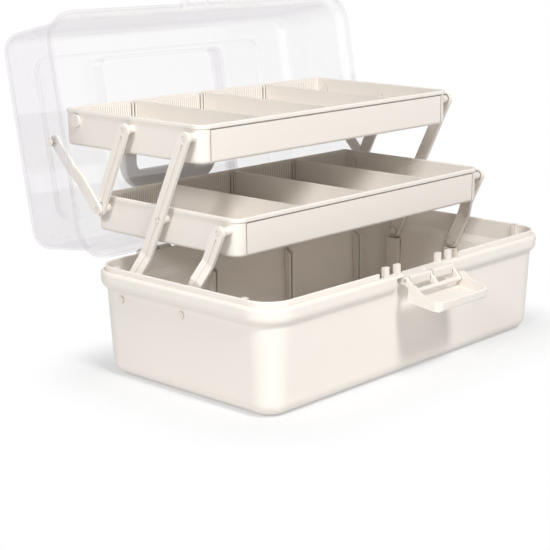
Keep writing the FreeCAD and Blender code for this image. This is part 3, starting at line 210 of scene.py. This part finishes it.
def clear(name):
    """Thin clear plastic: see-through face on, hazier and glossier where it turns away."""
    material, tree, shader = new_material(name)
    ripple = noise(tree, own_place(tree), RIPPLE_SCALE, RIPPLE_DETAIL)
    wave = bumped(tree, ripple, RIPPLE_STRENGTH, RIPPLE_DEPTH)
    turned = add_node(tree, "ShaderNodeLayerWeight", {"Blend": TURN_BLEND, "Normal": wave})
    facing = turned.outputs["Facing"]

    def share(power, gain, least):
        return math_node(tree, "MULTIPLY_ADD", math_node(tree, "POWER", facing, power), gain, least)

    tint = blended(tree, facing, CLEAR_FACE_ON, CLEAR_TURNED)
    through = add_node(tree, "ShaderNodeBsdfTransparent", {"Color": tint}).outputs[0]
    surface = {"Base Color": CLEAR_SURFACE, "Roughness": CLEAR_ROUGHNESS, "IOR": CLEAR_IOR, "Normal": wave}
    for key, value in surface.items():
        feed(tree, shader.inputs[key], value)
    haze = mixed(tree, share(HAZE_POWER, HAZE_GAIN, HAZE_LEAST), through, shader.outputs[0])
    inputs = {"Color": WHITE, "Roughness": SHINE_ROUGHNESS, "Normal": wave}
    shine = add_node(tree, "ShaderNodeBsdfGlossy", inputs).outputs[0]
    film = mixed(tree, share(SHINE_POWER, SHINE_GAIN, SHINE_LEAST), haze, shine)
    path = tree.nodes.new("ShaderNodeLightPath").outputs
    dull = math_node(tree, "MAXIMUM", path["Is Shadow Ray"], path["Is Diffuse Ray"])
    plain = add_node(tree, "ShaderNodeBsdfTransparent", {"Color": CLEAR_SHADOW}).outputs[0]
    feed(tree, tree.nodes["Material Output"].inputs["Surface"], mixed(tree, dull, film, plain))
    return material


STEEL_DARK = (0.56, 0.55, 0.54, 1)
STEEL_BRIGHT = (0.68, 0.67, 0.66, 1)
STEEL_ROUGHNESS = (0.22, 0.42)
DRAWN_SCALE = (40.0, 4000.0, 4000.0)
DRAWN_DETAIL = 4.0
DRAWN_STRENGTH = 0.2
DRAWN_DEPTH = 0.0001


def steel(name):
    """Drawn steel, with fine streaks along X."""
    material, tree, shader = new_material(name)
    inputs = {"Scale": DRAWN_SCALE, "Vector": own_place(tree)}
    stretched = add_node(tree, "ShaderNodeMapping", inputs).outputs["Vector"]
    drawn = noise(tree, stretched, 1.0, DRAWN_DETAIL)
    feed(tree, shader.inputs["Metallic"], 1.0)
    feed(tree, shader.inputs["Roughness"], ranged(tree, drawn, *STEEL_ROUGHNESS))
    feed(tree, shader.inputs["Base Color"], blended(tree, drawn, STEEL_DARK, STEEL_BRIGHT))
    feed(tree, shader.inputs["Normal"], bumped(tree, drawn, DRAWN_STRENGTH, DRAWN_DEPTH))
    return material


CREAM = cream("cream_plastic", CREAM_COLOR)
# Painted light: the handle's paler cream stands in for light the shaded handle lacks.
HANDLE_PAINTED_LIGHT_CREAM = cream("handle_painted_light_cream_plastic", HANDLE_PAINTED_LIGHT_COLOR)
# The rivets' cream carries the wider painted shade round their caps.
RIVET = cream("rivet_painted_shade_cream_plastic", CREAM_COLOR, RIVET_PAINTED_SHADE_REACH, RIVET_PAINTED_SHADE_OPEN)
FLUTED = cream("fluted_painted_shade_cream_plastic", CREAM_COLOR, PAINTED_SHADE_REACH, FLUTE_PAINTED_SHADE_OPEN)
SLOT_MATERIALS = {"cream_plastic": CREAM, "clear_plastic": clear("clear_plastic"),
                  "hinge_steel": steel("hinge_steel")}
slots = {part["node"]: part["material_slot"] for part in frame["record"]["subparts"]}
for name, node in nodes.items():
    material = SLOT_MATERIALS[slots[name]]
    # Painted light: the handle takes the paler cream.
    if name == "handle":
        material = HANDLE_PAINTED_LIGHT_CREAM
    elif name.endswith("_rivets"):
        material = RIVET
    node.data.materials.clear()
    node.data.materials.append(material)

# ---- pieces: every length from here to the lights is in millimetres ----
SUNK = 0.3
SOFT_SEGMENTS = 2
FIN_SOFTNESS = 0.3
PANEL_SOFTNESS = 0.25


def piece(name, verts, faces, body, smooth=False, material=CREAM):
    """A cream piece that rides on a body."""
    mesh = bpy.data.meshes.new(name)
    mesh.from_pydata([(x * MM, y * MM, z * MM) for x, y, z in verts], [], faces)
    mesh.materials.append(material)
    mesh.polygons.foreach_set("use_smooth", [smooth] * len(mesh.polygons))
    mesh.validate()
    mesh.update()
    made = bpy.data.objects.new(name, mesh)
    scene.collection.objects.link(made)
    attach(made, body)
    return made


def soften(made, width):
    """Rounds the piece's edges."""
    bevel = made.modifiers.new("soft_edges", "BEVEL")
    bevel.width = width * MM
    bevel.segments = SOFT_SEGMENTS
    bevel.limit_method = "ANGLE"


def add_prism(verts, faces, section, x0, x1):
    """Adds a prism along X over a section of (y, z) points."""
    count = len(section)
    start = len(verts)
    verts += [(x0, y, z) for y, z in section] + [(x1, y, z) for y, z in section]
    faces.append(tuple(start + k for k in reversed(range(count))))
    faces.append(tuple(start + count + k for k in range(count)))
    for k in range(count):
        after = (k + 1) % count
        faces.append((start + k, start + after, start + count + after, start + count + k))


TRAY_RIM_PROUD = 0.8
TRAY_WALL = 1.8
TRAY_RIM_DROP = 1.6
TRAY_HALF_INSIDE = 136.0
DIVIDER_PLACES = (-74.0, 0.0, 74.0)
SLOT_OUTER = 2.55
SLOT_RIB_DEPTH = 2.6
FIN_GAP = 1.2
FIN_WIDTH = 1.1
FLUTE_MARGIN = 0.4
FLUTE_PITCH = 2.2
FLUTE_RELIEF = 1.2
FLUTE_FULLNESS = 0.5
FLUTE_STEPS = 8
FLUTE_RUN_OUT = 1.0
FLUTE_SEAT = 0.05


def tray_inside(tray):
    """A tray's inner faces at the front and rear, its floor and the top of its fins."""
    low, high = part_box(tray)
    inset = TRAY_RIM_PROUD + TRAY_WALL
    return (low[1] / MM + inset, high[1] / MM - inset,
            low[2] / MM + TRAY_WALL, high[2] / MM - TRAY_RIM_DROP)


def flutes(tray):
    """The fine upright flutes on a tray's rear wall, inside, between the dividers' slots."""
    _, rear, floor_z, top_z = tray_inside(tray)
    edge = SLOT_OUTER + FIN_GAP + FIN_WIDTH + FLUTE_MARGIN
    stops = [-TRAY_HALF_INSIDE]
    for place in DIVIDER_PLACES:
        stops += [place - edge, place + edge]
    stops.append(TRAY_HALF_INSIDE)
    rows = ((floor_z - SUNK, FLUTE_RELIEF), (top_z - FLUTE_RUN_OUT, FLUTE_RELIEF), (top_z, 0.0))
    verts, faces = [], []
    for a, b in zip(stops[::2], stops[1::2]):
        count = round((b - a) / FLUTE_PITCH)
        steps = count * FLUTE_STEPS
        start = len(verts)
        for z, relief in rows:
            for step in range(steps + 1):
                swell = abs(math.sin(math.pi * count * step / steps)) ** FLUTE_FULLNESS
                verts.append((a + (b - a) * step / steps, rear + FLUTE_SEAT - relief * swell, z))
        width = steps + 1
        for level in range(len(rows) - 1):
            for step in range(steps):
                first = start + level * width + step
                faces.append((first, first + 1, first + 1 + width, first + width))
    # The flutes' material darkens their hollows with painted shade.
    piece(tray + "_flutes", verts, faces, tray, smooth=True, material=FLUTED)


def slot_fins(tray):
    """A thin fin beside each divider's slot, on the front and rear walls."""
    front, rear, floor_z, top_z = tray_inside(tray)
    verts, faces = [], []
    for place in DIVIDER_PLACES:
        for side in (-1, 1):
            near = place + side * (SLOT_OUTER + FIN_GAP)
            far = near + side * FIN_WIDTH
            for y0, y1 in ((rear - SLOT_RIB_DEPTH, rear + SUNK), (front - SUNK, front + SLOT_RIB_DEPTH)):
                section = [(y0, floor_z - SUNK), (y1, floor_z - SUNK), (y1, top_z), (y0, top_z)]
                add_prism(verts, faces, section, min(near, far), max(near, far))
    soften(piece(tray + "_slot_fins", verts, faces, tray), FIN_SOFTNESS)


for tray in ("lower_tray", "upper_tray"):
    flutes(tray)
    slot_fins(tray)

GUIDE_CENTRES = (-132.0, -44.0, 44.0, 132.0)
GUIDE_NEAR = 2.6
GUIDE_FAR = 4.4
# A guide's outline in y and z: the foot of its face, the foot and top of the drafted wall, its sloped top.
GUIDE_SECTION = ((79.6, 11.0), (83.8, 11.0), (86.4, 61.2), (85.6, 61.2), (79.6, 57.4))


def guide_fins():
    """A second rib beside each of the tub's upright guides, which makes the guide a narrow slot."""
    verts, faces = [], []
    for centre in GUIDE_CENTRES:
        for flip in (1, -1):
            section = [(flip * y, z) for y, z in GUIDE_SECTION][::flip]
            add_prism(verts, faces, section, centre - GUIDE_FAR, centre - GUIDE_NEAR)
    soften(piece("tub_guide_fins", verts, faces, "tub"), FIN_SOFTNESS)


guide_fins()

ARM_ANGLE = math.radians(115.8)
ARM_THICK = 2.4
ARM_THROW = 68.0
ARM_HALF_WIDTH = 5.2
ARM_FOOT_HALF_WIDTH = 5.6
ARM_FOOT_X = 156.23
SHORT_ARM_X = 151.33
LONG_ARM_X = 149.53
PIVOT_Z = 61.3
# Each pair of arms: foot pivot's y, where it jogs, its length, and its x beyond the jog.
ARMS = {
    "short_arms": (-2.7, (28.0, 43.0), ARM_THROW, SHORT_ARM_X),
    "long_arms": (60.5, (14.0, 38.0), 2 * ARM_THROW, LONG_ARM_X),
}
RIM_OUTER = 0.3
RIM_WIDTH = 1.1
RIM_HEIGHT = 0.5
RIM_SLOPE = 0.2
RIM_ARC_STEPS = 8
# The rim's section: how far in from the arm's edge, and how high above its inner face.
RIM_SECTION = ((RIM_OUTER, -SUNK), (RIM_OUTER + RIM_SLOPE, RIM_HEIGHT),
               (RIM_OUTER + RIM_WIDTH - RIM_SLOPE, RIM_HEIGHT), (RIM_OUTER + RIM_WIDTH, -SUNK))


def arm_outline(jog, length, end_x):
    """Once round an arm: distance along it, half width, x, and the edge's direction in degrees."""
    stations = [(0, ARM_FOOT_HALF_WIDTH, ARM_FOOT_X), (jog[0], ARM_FOOT_HALF_WIDTH, ARM_FOOT_X),
                (jog[1], ARM_HALF_WIDTH, end_x), (length, ARM_HALF_WIDTH, end_x)]
    arc = [180.0 * k / RIM_ARC_STEPS for k in range(1, RIM_ARC_STEPS)]
    loop = [(*station, 90.0) for station in stations]
    loop += [(*stations[-1], 90.0 - turn) for turn in arc]
    loop += [(*station, -90.0) for station in reversed(stations)]
    return loop + [(*stations[0], -90.0 - turn) for turn in arc]


def arm_rims(body):
    """A low raised rim round the inner face of each arm of a pair."""
    foot_y, jog, length, end_x = ARMS[body]
    loop = arm_outline(jog, length, end_x)
    lean_y, lean_z = math.cos(ARM_ANGLE), math.sin(ARM_ANGLE)
    corners = len(RIM_SECTION)
    verts, faces = [], []
    for side in (-1, 1):
        start = len(verts)
        for distance, half, x, degrees in loop:
            turn = math.radians(degrees)
            for inset, lift in RIM_SECTION:
                along = distance + (half - inset) * math.cos(turn)
                across = (half - inset) * math.sin(turn)
                verts.append((side * (x - ARM_THICK / 2 - lift),
                              foot_y + along * lean_y - across * lean_z,
                              PIVOT_Z + along * lean_z + across * lean_y))
        for k in range(len(loop)):
            here = start + corners * k
            after = start + corners * ((k + 1) % len(loop))
            for c in range(corners):
                d = (c + 1) % corners
                faces.append((here + c, here + d, after + d, after + c)[::side])
    piece(body[:-1] + "_rims", verts, faces, body)


for body in ARMS:
    arm_rims(body)

LEVER_ROD_Y = -104.53
LEVER_ROD_Z = 69.18
LEVER_DROOP = math.radians(7.0)
LEVER_FLOOR = -5.8
PANEL_HALF_LENGTH = 24.5
PANEL_FRONT = -21.0
PANEL_BACK = -5.0
PANEL_HEIGHT = 0.6
PANEL_RIB_WIDTH = 1.2
PANEL_RIB_HEIGHT = 1.3


def lever_panel():
    """A raised panel with two cross ribs on the clasp lever's inner floor."""
    bars = ((PANEL_FRONT, PANEL_BACK, PANEL_HEIGHT),
            (PANEL_FRONT, PANEL_FRONT + PANEL_RIB_WIDTH, PANEL_RIB_HEIGHT),
            (PANEL_BACK - PANEL_RIB_WIDTH, PANEL_BACK, PANEL_RIB_HEIGHT))
    verts, faces = [], []
    for y0, y1, height in bars:
        low, high = LEVER_FLOOR - SUNK, LEVER_FLOOR + height
        section = [(y0, low), (y1, low), (y1, high), (y0, high)]
        add_prism(verts, faces, section, -PANEL_HALF_LENGTH, PANEL_HALF_LENGTH)
    lean_y, lean_z = math.cos(LEVER_DROOP), math.sin(LEVER_DROOP)
    verts = [(x, LEVER_ROD_Y + y * lean_y - z * lean_z, LEVER_ROD_Z + y * lean_z + z * lean_y)
             for x, y, z in verts]
    soften(piece("clasp_lever_panel", verts, faces, "clasp_lever"), PANEL_SOFTNESS)


lever_panel()

# ---- light, floor and world: lengths in metres, powers in watts ----
AMBIENT_COLOR = (0.98, 0.99, 1.0, 1)
AMBIENT_STRENGTH = 0.255
LIGHT_AIM = (0, 0, 0.1)
KEY_LIGHT = {"place": (-0.5, -1.7, 2.0), "size": 0.5, "power": 44.5}
SIDE_LIGHT = {"place": (-1.7, -0.58, 1.05), "size": 0.35, "power": 16.5}

world = bpy.data.worlds.new("world")
scene.world = world
world.use_nodes = True
tree = world.node_tree
ambient = tree.nodes["Background"]
ambient.inputs["Color"].default_value = AMBIENT_COLOR
ambient.inputs["Strength"].default_value = AMBIENT_STRENGTH
backdrop = add_node(tree, "ShaderNodeBackground", {"Color": WHITE, "Strength": 1.0})
sky = mixed(tree, seen_ray(tree), ambient.outputs[0], backdrop.outputs[0])
feed(tree, tree.nodes["World Output"].inputs["Surface"], sky)

FLOOR_SIDE = 12.0
FLOOR_DARK = (0.79, 0.79, 0.79, 1)
FLOOR_BRIGHT = (0.81, 0.81, 0.81, 1)
FLOOR_ROUGHNESS = 0.9
FLOOR_SPECK_SCALE = 60.0
FLOOR_SPECK_DETAIL = 2.0
FOOT_HALF = {"X": 0.13, "Y": 0.06}
FADE_START, FADE_END = 0.03, 0.10
GLOW_NEAR, GLOW_FAR = 0.45, 1.0


def floor_material():
    """A pale floor that keeps the object's shadow and fades to white away from its foot."""
    material, tree, shader = new_material("floor_white")
    place = own_place(tree)
    speck = noise(tree, place, FLOOR_SPECK_SCALE, FLOOR_SPECK_DETAIL)
    feed(tree, shader.inputs["Base Color"], blended(tree, speck, FLOOR_DARK, FLOOR_BRIGHT))
    feed(tree, shader.inputs["Roughness"], FLOOR_ROUGHNESS)
    feed(tree, shader.inputs["Specular IOR Level"], 0.0)
    apart = add_node(tree, "ShaderNodeSeparateXYZ", {0: place})
    squares = []
    for axis, half in FOOT_HALF.items():
        past = math_node(tree, "SUBTRACT", math_node(tree, "ABSOLUTE", apart.outputs[axis]), half)
        squares.append(math_node(tree, "POWER", math_node(tree, "MAXIMUM", past, 0.0), 2.0))
    away = math_node(tree, "SQRT", math_node(tree, "ADD", *squares))
    inputs = {"From Min": FADE_START, "From Max": FADE_END, "To Min": GLOW_NEAR, "To Max": GLOW_FAR,
              "Value": away}
    fade = add_node(tree, "ShaderNodeMapRange", inputs, interpolation_type="SMOOTHSTEP")
    seen = math_node(tree, "MULTIPLY", fade.outputs["Result"], seen_ray(tree))
    glow = add_node(tree, "ShaderNodeEmission", {"Color": WHITE, "Strength": 1.0})
    surface = mixed(tree, seen, shader.outputs[0], glow.outputs[0])
    feed(tree, tree.nodes["Material Output"].inputs["Surface"], surface)
    return material


floor_mesh = bpy.data.meshes.new("floor")
floor_mesh.from_pydata([(-FLOOR_SIDE, -FLOOR_SIDE, 0), (FLOOR_SIDE, -FLOOR_SIDE, 0),
                        (FLOOR_SIDE, FLOOR_SIDE, 0), (-FLOOR_SIDE, FLOOR_SIDE, 0)], [], [(0, 1, 2, 3)])
floor_mesh.materials.append(floor_material())
floor = bpy.data.objects.new("floor", floor_mesh)
scene.collection.objects.link(floor)


def softbox(name, place, size, power):
    """A square area lamp that looks at the object."""
    light = bpy.data.lights.new(name, "AREA")
    light.shape = "RECTANGLE"
    light.size = light.size_y = size
    light.energy = power
    lamp = bpy.data.objects.new(name, light)
    scene.collection.objects.link(lamp)
    lamp.location = place
    lamp.rotation_euler = (Vector(LIGHT_AIM) - Vector(place)).to_track_quat("-Z", "Y").to_euler()


softbox("key", **KEY_LIGHT)
softbox("side", **SIDE_LIGHT)
